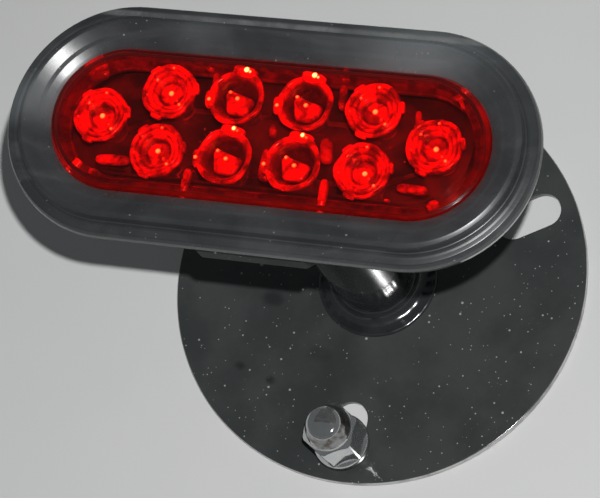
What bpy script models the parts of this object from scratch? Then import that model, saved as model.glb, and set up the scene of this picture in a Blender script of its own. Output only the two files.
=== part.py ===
"""Oval LED tail light on a standoff, carried by a round slotted plate that bolts over a wheel's studs.

Frame: the origin is the centre of the mounting plate's back face, +Z runs along the standoff tube
towards the lamp, +X is the lamp's long axis and +Y its short axis. Everything is in metres.
"""

import math

import bmesh
import bpy
from mathutils import Matrix, Vector

MM = 0.001
GAP = 0.3 * MM

# Mounting plate: a 6.5 inch disc whose slots take studs on bolt circles of 4.5 to 5.5 inches
PLATE_RADIUS = 82.55 * MM
PLATE_THICKNESS = 3.2 * MM
PLATE_EDGE_ROUND = 0.7 * MM
SLOT_INNER_CIRCLE = 57.15 * MM
SLOT_OUTER_CIRCLE = 69.85 * MM
SLOT_WIDTH = 13.5 * MM
SLOT_ANGLES = {"slot_low": -90.0, "slot_right": 30.0, "slot_left": 150.0}
WIRE_HOLE_RADIUS = 11.0 * MM

# Standoff tube, 1.25 inch outside, and its two fillet welds
TUBE_RADIUS = 15.875 * MM
TUBE_WALL = 2.4 * MM
PLATE_WELD_RADIUS = 24.0 * MM
PLATE_WELD_HEIGHT = 6.0 * MM
HEAD_WELD_RADIUS = 18.9 * MM
HEAD_WELD_HEIGHT = 3.4 * MM

# Lamp head. Its ovals share one core, half the distance between the centres of the two round ends,
# and differ only in their end radius. LENS_EDGE_Z is where the grommet's lip meets the lens.
OVAL_CORE = 52.8 * MM
LENS_EDGE_Z = PLATE_THICKNESS + 159.2 * MM
OPENING_RADIUS = 26.2 * MM
LAMP_RADIUS = 29.4 * MM
HOUSING_RADIUS = 27.2 * MM
FLANGE_RADIUS = 42.8 * MM
RIDGE_RADIUS = 36.2 * MM
STEP_RADIUS = 39.8 * MM

# Steel panel that the grommet snaps into, and the strap that carries it on the tube
STEEL = 3.2 * MM
PANEL_RADIUS = 41.9 * MM
PANEL_HOLE_RADIUS = 35.0 * MM
PANEL_FRONT = -3.9 * MM
STRAP_HALF_WIDTH = 19.05 * MM
STRAP_LEG_OUT = 42.0 * MM
STRAP_BEND_Z = -15.0 * MM
STRAP_BACK_OUT = 24.0 * MM
STRAP_BACK_Z = -46.9 * MM
STRAP_HOLE_RADIUS = 10.0 * MM

# Inside the lamp
BOARD_RADIUS = 23.6 * MM
BOARD_TOP = -15.4 * MM
BOARD_THICKNESS = 1.6 * MM
OPTIC_RADIUS = 9.8 * MM
OPTIC_PITCH_X = 24.6 * MM
OPTIC_ROW_Y = 10.8 * MM
OPTIC_END_X = 59.9 * MM
FLOOR_INNER_Z = -18.0 * MM
FLOOR_OUTER_Z = -20.0 * MM
SOCKET_MOUTH_Z = -28.0 * MM
SOCKET_CORE = 10.0 * MM
SOCKET_RADIUS = 6.5 * MM
SOCKET_WALL = 2.2 * MM
PIN_PITCH = 9.5 * MM
PIN_RADIUS = 1.6 * MM

# Acorn lug nut for a half inch stud: 60 degree cone seat, round bulge, hexagon and tapered cap
NUT_Y = -68.0 * MM
NUT_TURN = math.radians(27.0)
NUT_ACROSS_FLATS = 19.05 * MM
NUT_BORE_RADIUS = 5.7 * MM
NUT_BORE_TOP = 22.0 * MM
NUT_SEAT_RADIUS = 6.3 * MM
NUT_CONE_RADIUS = 8.2 * MM
NUT_BULGE_RADIUS = 10.9 * MM
NUT_BULGE_LOW = 4.0 * MM
NUT_BULGE_HIGH = 7.4 * MM
NUT_CORNER_RADIUS = 10.7 * MM
NUT_HEX_LOW = 5.0 * MM
NUT_HEX_HIGH = 24.2 * MM
STUD_RADIUS = 5.4 * MM

# Mesh fineness: points on a half circle of each kind of piece
OVAL_STEPS = 16
ROUND_STEPS = 22
OPTIC_STEPS = 8
SMALL_STEPS = 6


def clear_scene():
    for item in list(bpy.data.objects):
        bpy.data.objects.remove(item, do_unlink=True)


def make_material(name, colour, roughness, metallic=0.0, alpha=1.0, emission=0.0):
    material = bpy.data.materials.new(name)
    material.use_nodes = True
    shader = material.node_tree.nodes["Principled BSDF"]
    shader.inputs["Base Color"].default_value = (*colour, 1.0)
    shader.inputs["Roughness"].default_value = roughness
    shader.inputs["Metallic"].default_value = metallic
    shader.inputs["Alpha"].default_value = alpha
    if emission:
        shader.inputs["Emission Color"].default_value = (*colour, 1.0)
        shader.inputs["Emission Strength"].default_value = emission
    return material


def outline(core, radius, steps):
    """Points of an oval with round ends, anticlockwise: a circle when core is zero."""
    half = [math.pi * i / steps - math.pi / 2 for i in range(steps + 1)]
    if core == 0:
        half = half[:-1]
    right = [(core + radius * math.cos(a), radius * math.sin(a)) for a in half]
    left = [(-core - radius * math.cos(a), -radius * math.sin(a)) for a in half]
    return right + left


def rounded(points, radius, steps=3, closed=True):
    """The polyline with each marked corner, (x, y, True), replaced by an arc of the radius."""
    result = []
    count = len(points)
    for i, point in enumerate(points):
        here = Vector(point[:2])
        ends = not closed and i in (0, count - 1)
        if len(point) < 3 or ends:
            result.append(tuple(here))
            continue
        before = (Vector(points[i - 1][:2]) - here).normalized()
        after = (Vector(points[(i + 1) % count][:2]) - here).normalized()
        half_angle = before.angle(after) / 2
        reach = radius / math.tan(half_angle)
        centre = here + (before + after).normalized() * radius / math.sin(half_angle)
        start = here + before * reach - centre
        turn = start.angle_signed(here + after * reach - centre)
        for k in range(steps + 1):
            spoke = Matrix.Rotation(-turn * k / steps, 2) @ start
            result.append(tuple(centre + spoke))
    return result


def bridge(bm, first, second):
    count = len(first)
    for i in range(count):
        j = (i + 1) % count
        bm.faces.new((first[i], first[j], second[j], second[i]))


def finish_mesh(bm, name, sharp_angle=35.0):
    bmesh.ops.recalc_face_normals(bm, faces=bm.faces)
    mesh = bpy.data.meshes.new(name)
    bm.to_mesh(mesh)
    bm.free()
    mesh.shade_smooth()
    mesh.set_sharp_from_angle(angle=math.radians(sharp_angle))
    return mesh


def stack_mesh(name, loops, core=0.0, steps=ROUND_STEPS, ring=False):
    """A solid from (radius, z) loops: each is an oval on the core. A ring closes on itself,
    and any other solid is capped at both ends."""
    bm = bmesh.new()
    rows = []
    for radius, z in loops:
        row = [bm.verts.new((x, y, z)) for x, y in outline(core, radius, steps)]
        rows.append(row)
    for first, second in zip(rows, rows[1:]):
        bridge(bm, first, second)
    if ring:
        bridge(bm, rows[-1], rows[0])
    else:
        bm.faces.new(rows[0])
        bm.faces.new(rows[-1])
    return finish_mesh(bm, name)


def extruded_mesh(name, profile, half_width):
    """A closed (y, z) profile made solid from -half_width to +half_width along X."""
    bm = bmesh.new()
    rows = [[bm.verts.new((x, y, z)) for y, z in profile] for x in (-half_width, half_width)]
    bridge(bm, rows[0], rows[1])
    for row in rows:
        bm.faces.new(row)
    return finish_mesh(bm, name)


def box_mesh(name, size, bevel=0.0):
    bm = bmesh.new()
    bmesh.ops.create_cube(bm, size=1.0)
    bmesh.ops.scale(bm, vec=size, verts=bm.verts)
    if bevel:
        bmesh.ops.bevel(bm, geom=bm.edges[:], offset=bevel, segments=1, affect="EDGES")
    return finish_mesh(bm, name)


def add(name, mesh, material, location=(0.0, 0.0, 0.0), parent=None):
    item = bpy.data.objects.new(name, mesh)
    bpy.context.scene.collection.objects.link(item)
    item.location = location
    item.parent = parent
    if not mesh.materials:
        mesh.materials.append(material)
    return item


def shape_with(target, tool_mesh, operation, location=(0.0, 0.0, 0.0), turn=0.0):
    """Applies a hidden tool solid to the target with an exact Boolean."""
    tool = bpy.data.objects.new(tool_mesh.name, tool_mesh)
    bpy.context.scene.collection.objects.link(tool)
    tool.parent = target.parent
    tool.location = location
    tool.rotation_euler = (0.0, 0.0, turn)
    tool.hide_render = True
    tool.display_type = "WIRE"
    modifier = target.modifiers.new(tool_mesh.name, "BOOLEAN")
    modifier.operation = operation
    modifier.solver = "EXACT"
    modifier.object = tool


def prism_loops(radius, low, high):
    return [(radius, low), (radius, high)]


def mounting_plate(paint):
    r, t = PLATE_RADIUS, PLATE_THICKNESS
    rim = rounded([(r - 3 * MM, 0.0), (r, 0.0, True), (r, t, True), (r - 3 * MM, t)],
                  PLATE_EDGE_ROUND, steps=2, closed=False)
    plate = add("mounting_plate", stack_mesh("mounting_plate", rim, steps=2 * OVAL_STEPS), paint)
    middle = (SLOT_INNER_CIRCLE + SLOT_OUTER_CIRCLE) / 2
    travel = (SLOT_OUTER_CIRCLE - SLOT_INNER_CIRCLE) / 2
    for name, degrees in SLOT_ANGLES.items():
        angle = math.radians(degrees)
        loops = prism_loops(SLOT_WIDTH / 2, -t, 2 * t)
        cutter = stack_mesh(name, loops, core=travel, steps=10)
        shape_with(plate, cutter, "DIFFERENCE",
                   (middle * math.cos(angle), middle * math.sin(angle), 0.0), angle)
    hole = stack_mesh("wire_hole", prism_loops(WIRE_HOLE_RADIUS, -t, 2 * t), steps=14)
    shape_with(plate, hole, "DIFFERENCE")


def standoff(paint, weld_paint):
    low = PLATE_THICKNESS + GAP
    high = LENS_EDGE_Z + STRAP_BACK_Z - GAP
    inner = TUBE_RADIUS - TUBE_WALL
    wall = [(TUBE_RADIUS, low), (TUBE_RADIUS, high), (inner, high), (inner, low)]
    add("standoff_tube", stack_mesh("standoff_tube", wall, ring=True), paint)
    for name, z, radius, height, way in (
        ("plate_weld", low, PLATE_WELD_RADIUS, PLATE_WELD_HEIGHT, 1.0),
        ("head_weld", high, HEAD_WELD_RADIUS, HEAD_WELD_HEIGHT, -1.0),
    ):
        root = TUBE_RADIUS + GAP
        width = radius - root
        bead = [(root, z), (radius, z)]
        for share in (0.2, 0.45, 0.7, 0.9):
            swell = math.sin(math.pi * share) * 0.12
            bead.append((radius - width * (share - swell), z + way * height * (share + swell)))
        bead.append((root, z + way * height))
        add(name, stack_mesh(name, bead, ring=True), weld_paint)


def lamp_panel(paint, head):
    back = PANEL_FRONT - STEEL
    section = rounded(
        [
            (PANEL_HOLE_RADIUS, back),
            (PANEL_RADIUS, back, True),
            (PANEL_RADIUS, PANEL_FRONT, True),
            (PANEL_HOLE_RADIUS, PANEL_FRONT),
        ],
        0.6 * MM,
        steps=2,
    )
    mesh = stack_mesh("lamp_panel", section, core=OVAL_CORE, steps=OVAL_STEPS, ring=True)
    add("lamp_panel", mesh, paint, parent=head)


def offset_path(path, distance):
    """The open path moved sideways by the distance, with mitred corners."""
    result = []
    for i, point in enumerate(path):
        here = Vector(point)
        ways = []
        if i > 0:
            ways.append((here - Vector(path[i - 1])).normalized())
        if i < len(path) - 1:
            ways.append((Vector(path[i + 1]) - here).normalized())
        sides = [Vector((-way.y, way.x)) for way in ways]
        mean = sum(sides, Vector((0.0, 0.0))).normalized()
        result.append(tuple(here + mean * distance / mean.dot(sides[0])))
    return result


def lamp_strap(paint, head):
    top = PANEL_FRONT - STEEL - GAP
    out = [
        (STRAP_LEG_OUT, top),
        (STRAP_LEG_OUT, STRAP_BEND_Z),
        (STRAP_BACK_OUT, STRAP_BACK_Z),
        (-STRAP_BACK_OUT, STRAP_BACK_Z),
        (-STRAP_LEG_OUT, STRAP_BEND_Z),
        (-STRAP_LEG_OUT, top),
    ]
    inner = offset_path(out, -STEEL)
    outer_face = rounded([(*p, True) for p in out], 4.0 * MM + STEEL, closed=False)
    inner_face = rounded([(*p, True) for p in inner], 4.0 * MM, closed=False)
    profile = outer_face + inner_face[::-1]
    strap = add("lamp_strap", extruded_mesh("lamp_strap", profile, STRAP_HALF_WIDTH), paint,
                parent=head)
    loops = prism_loops(STRAP_HOLE_RADIUS, STRAP_BACK_Z - STEEL, STRAP_BACK_Z + 2 * STEEL)
    shape_with(strap, stack_mesh("strap_hole", loops, steps=12), "DIFFERENCE")


def grommet(rubber, head):
    """One rubber ring: lip over the lens, stepped front flange, groove for the panel, rear bead."""
    lens_seat = -0.6 * MM
    pocket = LAMP_RADIUS + GAP
    neck = PANEL_HOLE_RADIUS - GAP
    flange_back = PANEL_FRONT + GAP
    panel_back = PANEL_FRONT - STEEL - GAP
    section = [
        (OPENING_RADIUS, lens_seat),
        (OPENING_RADIUS, 0.2 * MM),
        (27.0 * MM, 1.6 * MM),
        (28.2 * MM, 2.1 * MM),
        (29.6 * MM, 2.0 * MM),
        (31.0 * MM, 2.4 * MM),
        (34.6 * MM, 4.4 * MM),
        (35.6 * MM, 4.8 * MM),
        (RIDGE_RADIUS, 4.5 * MM),
        (36.7 * MM, 3.4 * MM),
        (37.2 * MM, 1.5 * MM),
        (38.2 * MM, 1.1 * MM),
        (39.2 * MM, 1.6 * MM),
        (STEP_RADIUS, 1.4 * MM),
        (41.3 * MM, 0.0 * MM),
        (42.4 * MM, -1.9 * MM),
        (FLANGE_RADIUS, -3.1 * MM),
        (FLANGE_RADIUS - 0.4 * MM, flange_back),
        (neck, flange_back),
        (neck, panel_back),
        (37.0 * MM, panel_back),
        (36.6 * MM, panel_back - 1.4 * MM),
        (33.0 * MM, -11.4 * MM),
        (HOUSING_RADIUS + GAP, -11.4 * MM),
        (HOUSING_RADIUS + GAP, -6.9 * MM),
        (pocket, -6.9 * MM),
        (pocket, lens_seat),
    ]
    mesh = stack_mesh("grommet", section, core=OVAL_CORE, steps=OVAL_STEPS, ring=True)
    add("grommet", mesh, rubber, parent=head)


def lamp_lens(red, head):
    """A red cap: flange under the grommet's lip, a rounded shoulder, and a gently crowned front."""
    rim_back = -3.4 * MM
    outside = [
        (LAMP_RADIUS, rim_back),
        (LAMP_RADIUS, -0.9 * MM),
        (26.0 * MM, -0.9 * MM),
        (25.7 * MM, 1.5 * MM),
        (24.7 * MM, 2.9 * MM),
        (23.0 * MM, 4.0 * MM),
        (20.2 * MM, 4.8 * MM),
        (10.0 * MM, 5.3 * MM),
    ]
    inside = [
        (10.0 * MM, 3.8 * MM),
        (20.4 * MM, 3.4 * MM),
        (22.6 * MM, 2.2 * MM),
        (23.8 * MM, 0.4 * MM),
        (24.0 * MM, rim_back),
    ]
    bm = bmesh.new()
    rows = []
    for radius, z in outside + inside:
        points = outline(OVAL_CORE, radius, OVAL_STEPS)
        rows.append([bm.verts.new((x, y, z)) for x, y in points])
    for first, second in zip(rows, rows[1:]):
        if first is not rows[len(outside) - 1]:
            bridge(bm, first, second)
    bridge(bm, rows[-1], rows[0])
    bm.faces.new(rows[len(outside) - 1])
    bm.faces.new(rows[len(outside)])
    add("lamp_lens", finish_mesh(bm, "lamp_lens"), red, parent=head)


def lamp_housing(plastic, head):
    """A tray with a rim for the lens, and a socket on its back for the wiring plug."""
    rim = -3.4 * MM - GAP
    inner = HOUSING_RADIUS - 2.2 * MM
    loops = [
        (HOUSING_RADIUS - 1.0 * MM, FLOOR_OUTER_Z),
        (HOUSING_RADIUS, FLOOR_OUTER_Z + 1.0 * MM),
        (HOUSING_RADIUS, -6.6 * MM),
        (LAMP_RADIUS, -6.6 * MM),
        (LAMP_RADIUS, rim),
        (inner, rim),
        (inner, FLOOR_INNER_Z),
    ]
    mesh = stack_mesh("lamp_housing", loops, core=OVAL_CORE, steps=OVAL_STEPS)
    housing = add("lamp_housing", mesh, plastic, parent=head)
    wall = SOCKET_RADIUS + SOCKET_WALL
    boss = prism_loops(wall, SOCKET_MOUTH_Z, FLOOR_OUTER_Z + 1.0 * MM)
    recess = prism_loops(SOCKET_RADIUS, SOCKET_MOUTH_Z - 2.0 * MM, FLOOR_OUTER_Z)
    shape_with(housing, stack_mesh("socket_boss", boss, SOCKET_CORE, 8), "UNION")
    shape_with(housing, stack_mesh("socket_recess", recess, SOCKET_CORE, 8), "DIFFERENCE")
    for side in (-1, 0, 1):
        loops = prism_loops(PIN_RADIUS + GAP, FLOOR_OUTER_Z - MM, FLOOR_INNER_Z + MM)
        hole = stack_mesh(f"pin_hole_{side + 2}", loops, steps=SMALL_STEPS)
        shape_with(housing, hole, "DIFFERENCE", (side * PIN_PITCH, 0.0, 0.0))


def terminal_pins(brass, head):
    tip = SOCKET_MOUTH_Z + 1.5 * MM
    top = BOARD_TOP - BOARD_THICKNESS - GAP
    loops = [(0.9 * MM, tip), (PIN_RADIUS, tip + 1.2 * MM), (PIN_RADIUS, top)]
    mesh = stack_mesh("terminal_pin", loops, steps=SMALL_STEPS)
    for number, side in enumerate((-1, 0, 1), start=1):
        add(f"terminal_pin_{number}", mesh, brass, (side * PIN_PITCH, 0.0, 0.0), head)


def optic_places():
    """Centres of the optics: two rows of four, and one at each end. The flag marks the middle four."""
    places = []
    for row in (1, -1):
        for column in (-1.5, -0.5, 0.5, 1.5):
            x = column * OPTIC_PITCH_X
            places.append((x, row * OPTIC_ROW_Y, abs(column) < 1.0))
    places.append((-OPTIC_END_X, 0.0, False))
    places.append((OPTIC_END_X, 0.0, False))
    return places


def optics_and_leds(clear_red, led_body, head):
    base = BOARD_TOP + GAP
    r = OPTIC_RADIUS
    led_height = 1.5 * MM
    hollow = base + led_height + 2.2 * MM
    skirt = [(2.9 * MM, hollow), (2.9 * MM, base), (4.0 * MM, base), (r, 1.4 * MM), (r, 2.3 * MM)]
    ringed_front = [
        (9.1 * MM, 3.0 * MM),
        (7.8 * MM, 1.3 * MM),
        (7.2 * MM, 2.0 * MM),
        (5.8 * MM, 0.3 * MM),
        (5.2 * MM, 0.9 * MM),
        (4.3 * MM, -1.6 * MM),
        (3.6 * MM, -1.3 * MM),
        (1.6 * MM, -0.5 * MM),
    ]
    dished_front = [
        (9.1 * MM, 3.0 * MM),
        (7.8 * MM, 0.9 * MM),
        (5.6 * MM, -2.6 * MM),
        (4.4 * MM, -3.0 * MM),
        (3.6 * MM, -1.2 * MM),
        (1.6 * MM, -0.5 * MM),
    ]
    ringed = stack_mesh("ringed_optic", skirt + ringed_front, steps=OPTIC_STEPS)
    dished = stack_mesh("dished_optic", skirt + dished_front, steps=OPTIC_STEPS)
    led_loops = [
        (1.9 * MM, base),
        (1.9 * MM, base + 0.7 * led_height),
        (1.3 * MM, base + 0.7 * led_height),
        (0.7 * MM, base + led_height),
    ]
    led = stack_mesh("led", led_loops, steps=SMALL_STEPS)
    for number, (x, y, middle) in enumerate(optic_places(), start=1):
        add(f"optic_{number}", dished if middle else ringed, clear_red, (x, y, 0.0), head)
        add(f"led_{number}", led, led_body, (x, y, 0.0), head)


def circuit_board(green, ceramic, black, head):
    loops = prism_loops(BOARD_RADIUS, BOARD_TOP - BOARD_THICKNESS, BOARD_TOP)
    mesh = stack_mesh("circuit_board", loops, core=OVAL_CORE, steps=OVAL_STEPS)
    add("circuit_board", mesh, green, parent=head)
    chip = box_mesh("resistor", (3.2 * MM, 1.6 * MM, 0.6 * MM))
    z = BOARD_TOP + GAP + 0.3 * MM
    for number, column in enumerate((-1, 0, 1), start=1):
        x = column * OPTIC_PITCH_X
        add(f"resistor_{number}", chip, ceramic, (x, OPTIC_ROW_Y + 9.5 * MM, z), head)
    diode = box_mesh("diode", (4.6 * MM, 2.6 * MM, 2.0 * MM), bevel=0.2 * MM)
    add("diode", diode, black, (0.0, -OPTIC_ROW_Y - 9.2 * MM, BOARD_TOP + GAP + MM), head)


def hexagon_mesh(name, across_flats, turn, low, high):
    corner = across_flats / math.sqrt(3.0)
    bm = bmesh.new()
    rows = []
    for z in (low, high):
        angles = [turn + math.radians(60 * k) for k in range(6)]
        rows.append([bm.verts.new((corner * math.cos(a), corner * math.sin(a), z)) for a in angles])
    bridge(bm, rows[0], rows[1])
    for row in rows:
        bm.faces.new(row)
    return finish_mesh(bm, name)


def lug_nut(chrome, steel):
    """Closed nut on its stud. Heights are measured from the plate's front face."""
    place = (0.0, NUT_Y, PLATE_THICKNESS)
    seat_low = -0.3 * MM
    seat_high = seat_low + (NUT_CONE_RADIUS - NUT_SEAT_RADIUS) / math.tan(math.radians(30.0))
    cap = [
        (NUT_CORNER_RADIUS, NUT_HEX_LOW),
        (NUT_CORNER_RADIUS, NUT_HEX_HIGH),
        (9.2 * MM, 25.6 * MM),
        (8.9 * MM, 26.6 * MM),
        (8.1 * MM, 30.0 * MM),
        (6.7 * MM, 33.4 * MM),
        (5.6 * MM, 34.7 * MM),
        (3.6 * MM, 35.3 * MM),
        (0.3 * MM, 35.4 * MM),
    ]
    bulge = [
        (NUT_SEAT_RADIUS, seat_low),
        (NUT_CONE_RADIUS, seat_high),
        (NUT_BULGE_RADIUS, NUT_BULGE_LOW),
        (NUT_BULGE_RADIUS, NUT_BULGE_HIGH),
        (9.0 * MM, 9.6 * MM),
    ]
    hexagon = hexagon_mesh("lug_nut", NUT_ACROSS_FLATS, NUT_TURN, NUT_HEX_LOW - MM, cap[-1][1] + MM)
    nut = add("lug_nut", hexagon, chrome, place)
    shape_with(nut, stack_mesh("nut_cap", cap, steps=12), "INTERSECT", place)
    shape_with(nut, stack_mesh("nut_bulge", bulge, steps=12), "UNION", place)
    bore = stack_mesh("nut_bore", prism_loops(NUT_BORE_RADIUS, -5 * MM, NUT_BORE_TOP), steps=8)
    shape_with(nut, bore, "DIFFERENCE", place)
    thread = [(STUD_RADIUS, GAP - PLATE_THICKNESS), (STUD_RADIUS, NUT_BORE_TOP - 2 * MM)]
    thread.append((STUD_RADIUS - MM, NUT_BORE_TOP - MM))
    add("wheel_stud", stack_mesh("wheel_stud", thread, steps=8), steel, place)


def build():
    clear_scene()
    paint = make_material("black_powder_coat", (0.030, 0.033, 0.033), 0.42)
    gloss = make_material("black_gloss_paint", (0.018, 0.019, 0.020), 0.22)
    rubber = make_material("black_rubber", (0.045, 0.050, 0.052), 0.48)
    red = make_material("red_lens", (0.45, 0.004, 0.003), 0.08, alpha=0.45)
    optic_red = make_material("clear_red_optic", (0.85, 0.01, 0.006), 0.10, alpha=0.8)
    led_body = make_material("led_body", (0.9, 0.12, 0.05), 0.3, emission=1.0)
    plastic = make_material("housing_plastic", (0.06, 0.008, 0.007), 0.45)
    board = make_material("circuit_board", (0.10, 0.012, 0.010), 0.5)
    ceramic = make_material("resistor_ceramic", (0.35, 0.02, 0.015), 0.4)
    epoxy = make_material("diode_epoxy", (0.02, 0.02, 0.02), 0.5)
    brass = make_material("terminal_brass", (0.75, 0.55, 0.25), 0.3, metallic=1.0)
    chrome = make_material("chrome", (0.80, 0.81, 0.82), 0.08, metallic=1.0)
    steel = make_material("stud_steel", (0.45, 0.45, 0.46), 0.35, metallic=1.0)

    mounting_plate(paint)
    standoff(gloss, gloss)
    head = bpy.data.objects.new("lamp_head", None)
    bpy.context.scene.collection.objects.link(head)
    head.location = (0.0, 0.0, LENS_EDGE_Z)
    lamp_strap(paint, head)
    lamp_panel(paint, head)
    grommet(rubber, head)
    lamp_lens(red, head)
    lamp_housing(plastic, head)
    circuit_board(board, ceramic, epoxy, head)
    optics_and_leds(optic_red, led_body, head)
    terminal_pins(brass, head)
    lug_nut(chrome, steel)


build()
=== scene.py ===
import math
import random

import bmesh
import bpy
from mathutils import Matrix, Vector, noise


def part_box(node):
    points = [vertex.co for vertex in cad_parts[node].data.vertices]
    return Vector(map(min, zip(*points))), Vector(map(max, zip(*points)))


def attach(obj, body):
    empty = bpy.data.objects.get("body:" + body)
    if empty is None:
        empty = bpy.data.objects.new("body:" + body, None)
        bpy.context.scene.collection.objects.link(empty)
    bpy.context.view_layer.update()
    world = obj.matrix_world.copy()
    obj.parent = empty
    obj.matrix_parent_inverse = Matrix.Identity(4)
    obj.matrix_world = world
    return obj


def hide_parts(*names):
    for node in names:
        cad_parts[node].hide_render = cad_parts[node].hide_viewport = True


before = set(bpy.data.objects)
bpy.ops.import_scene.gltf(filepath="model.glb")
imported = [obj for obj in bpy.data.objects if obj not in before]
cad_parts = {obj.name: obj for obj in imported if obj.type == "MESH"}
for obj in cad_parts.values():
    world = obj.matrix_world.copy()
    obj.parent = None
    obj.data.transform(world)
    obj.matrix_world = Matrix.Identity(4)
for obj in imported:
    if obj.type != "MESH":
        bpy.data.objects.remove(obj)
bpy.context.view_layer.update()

# The looks of an oval LED tail light on a slotted standoff plate. The frame has its origin at the centre
# of the plate's back face, +Z along the tube towards the lamp and +X along the lamp. Sizes in metres.

MM = 0.001
random.seed(7)

# Driving sizes, read from the frame
PLATE_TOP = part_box("mounting_plate")[1].z
PLATE_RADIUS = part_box("mounting_plate")[1].x
TUBE_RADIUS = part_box("standoff_tube")[1].x
TUBE_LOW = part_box("standoff_tube")[0].z
TUBE_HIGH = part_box("standoff_tube")[1].z
FLANGE_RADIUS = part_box("grommet")[1].y
OVAL_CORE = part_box("grommet")[1].x - FLANGE_RADIUS
LENS_CROWN = 5.3 * MM
HEAD_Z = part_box("lamp_lens")[1].z - LENS_CROWN
BOARD_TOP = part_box("circuit_board")[1].z - HEAD_Z
BOARD_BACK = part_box("circuit_board")[0].z - HEAD_Z
BOARD_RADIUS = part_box("circuit_board")[1].y
LED_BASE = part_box("led_1")[0].z - HEAD_Z
OPTIC_COUNT = 10
MIDDLE_OPTICS = (2, 3, 6, 7)

# Small pips in each optic whose glow is a painted glint: x, y, height, radius in millimetres, and glow
RINGED_GLINT_PIPS = ((0.0, 0.1, -0.6, 1.15, 3.0), (-5.6, 4.2, 1.5, 0.75, 2.3), (0.4, 8.1, 2.6, 0.7, 2.2),
               (4.8, -4.7, 1.9, 0.8, 2.35), (2.6, -2.4, 0.2, 0.7, 1.8), (-7.9, -1.6, 2.2, 0.6, 1.7))
DISHED_GLINT_PIPS = ((2.0, 9.9, 3.3, 1.2, 2.8), (3.4, 9.2, 3.1, 0.8, 2.2), (-3.9, 3.1, -0.9, 0.8, 2.5),
               (-0.4, 0.4, -0.9, 1.0, 2.7), (-9.5, -1.6, 3.0, 0.95, 2.6))
# Pale patches on the rubber and dark soft patches on the plate: x, y, radius in millimetres, squash and strength
PALE_PATCHES = ((52.0, 33.0, 26.0, 1.6, 0.6), (-86.0, 4.0, 20.0, 1.6, 0.6), (-30.0, 33.0, 16.0, 1.6, 0.25),
                 (86.0, -22.0, 14.0, 1.6, 0.2))
DARK_PATCHES = ((-41.0, -13.0, 5.5, 1.5, 0.7), (-48.5, -41.5, 3.5, 1.2, 0.75), (-35.5, -46.0, 3.5, 1.3, 0.7),
                (-17.0, -33.0, 6.0, 1.6, 0.3))
# Steps in half a turn
FINE = 48
ROUND = 40
SMALL = 16


# ---- shapes


def outline(core, radius, steps):
    """Points of an oval with round ends, anticlockwise: a circle when core is zero."""
    half = [math.pi * i / steps - math.pi / 2 for i in range(steps + 1)]
    if core == 0:
        half = half[:-1]
    right = [(core + radius * math.cos(a), radius * math.sin(a)) for a in half]
    left = [(-core - radius * math.cos(a), -radius * math.sin(a)) for a in half]
    return right + left


def mm(*sizes):
    return tuple(size * MM for size in sizes)


def fillet(points, radius, steps=4, closed=False):
    """The polyline with its corners rounded. A point's own third number, if any, is its radius."""
    result = []
    count = len(points)
    for i, point in enumerate(points):
        here = Vector(point[:2])
        own = point[2] if len(point) > 2 else radius
        if own == 0 or (not closed and i in (0, count - 1)):
            result.append(tuple(here))
            continue
        before = Vector(points[i - 1][:2]) - here
        after = Vector(points[(i + 1) % count][:2]) - here
        half_angle = before.angle(after) / 2
        if half_angle > math.radians(89.0):
            result.append(tuple(here))
            continue
        room = 0.48 * min(before.length, after.length)
        own = min(own, room * math.tan(half_angle))
        reach = own / math.tan(half_angle)
        before.normalize()
        after.normalize()
        centre = here + (before + after).normalized() * own / math.sin(half_angle)
        start = here + before * reach - centre
        turn = start.angle_signed(here + after * reach - centre)
        for k in range(steps + 1):
            result.append(tuple(centre + Matrix.Rotation(-turn * k / steps, 2) @ start))
    return result


def profile(points, radius=0.0, steps=4, closed=False, lift=0.0):
    """A filleted (radius, height) section from numbers in millimetres, raised by lift."""
    scaled = [(p[0] * MM, lift + p[1] * MM, *(own * MM for own in p[2:])) for p in points]
    return fillet(scaled, radius * MM, steps, closed)


def lit(section, lift=0.0):
    """A (radius, height, glow) section from millimetres, raised by lift."""
    return [(r * MM, lift + z * MM, glow) for r, z, glow in section]


def uneven_round(angle, lumps, level):
    """Smooth noise that meets itself after a full turn. More lumps vary it faster."""
    return noise.noise(Vector((math.cos(angle) * lumps, math.sin(angle) * lumps, level)))


def smooth_path(points, steps=3):
    """A Catmull-Rom curve through the points, whatever numbers each of them holds."""
    result = []
    last = len(points) - 1
    for i in range(last):
        a, b, c, d = points[max(i - 1, 0)], points[i], points[i + 1], points[min(i + 2, last)]
        for k in range(steps):
            t = k / steps
            result.append(tuple(
                0.5 * (2 * q + (r - p) * t + (2 * p - 5 * q + 4 * r - s) * t * t
                       + (3 * q - p - 3 * r + s) * t ** 3)
                for p, q, r, s in zip(a, b, c, d)
            ))
    result.append(tuple(points[last]))
    return result


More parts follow.
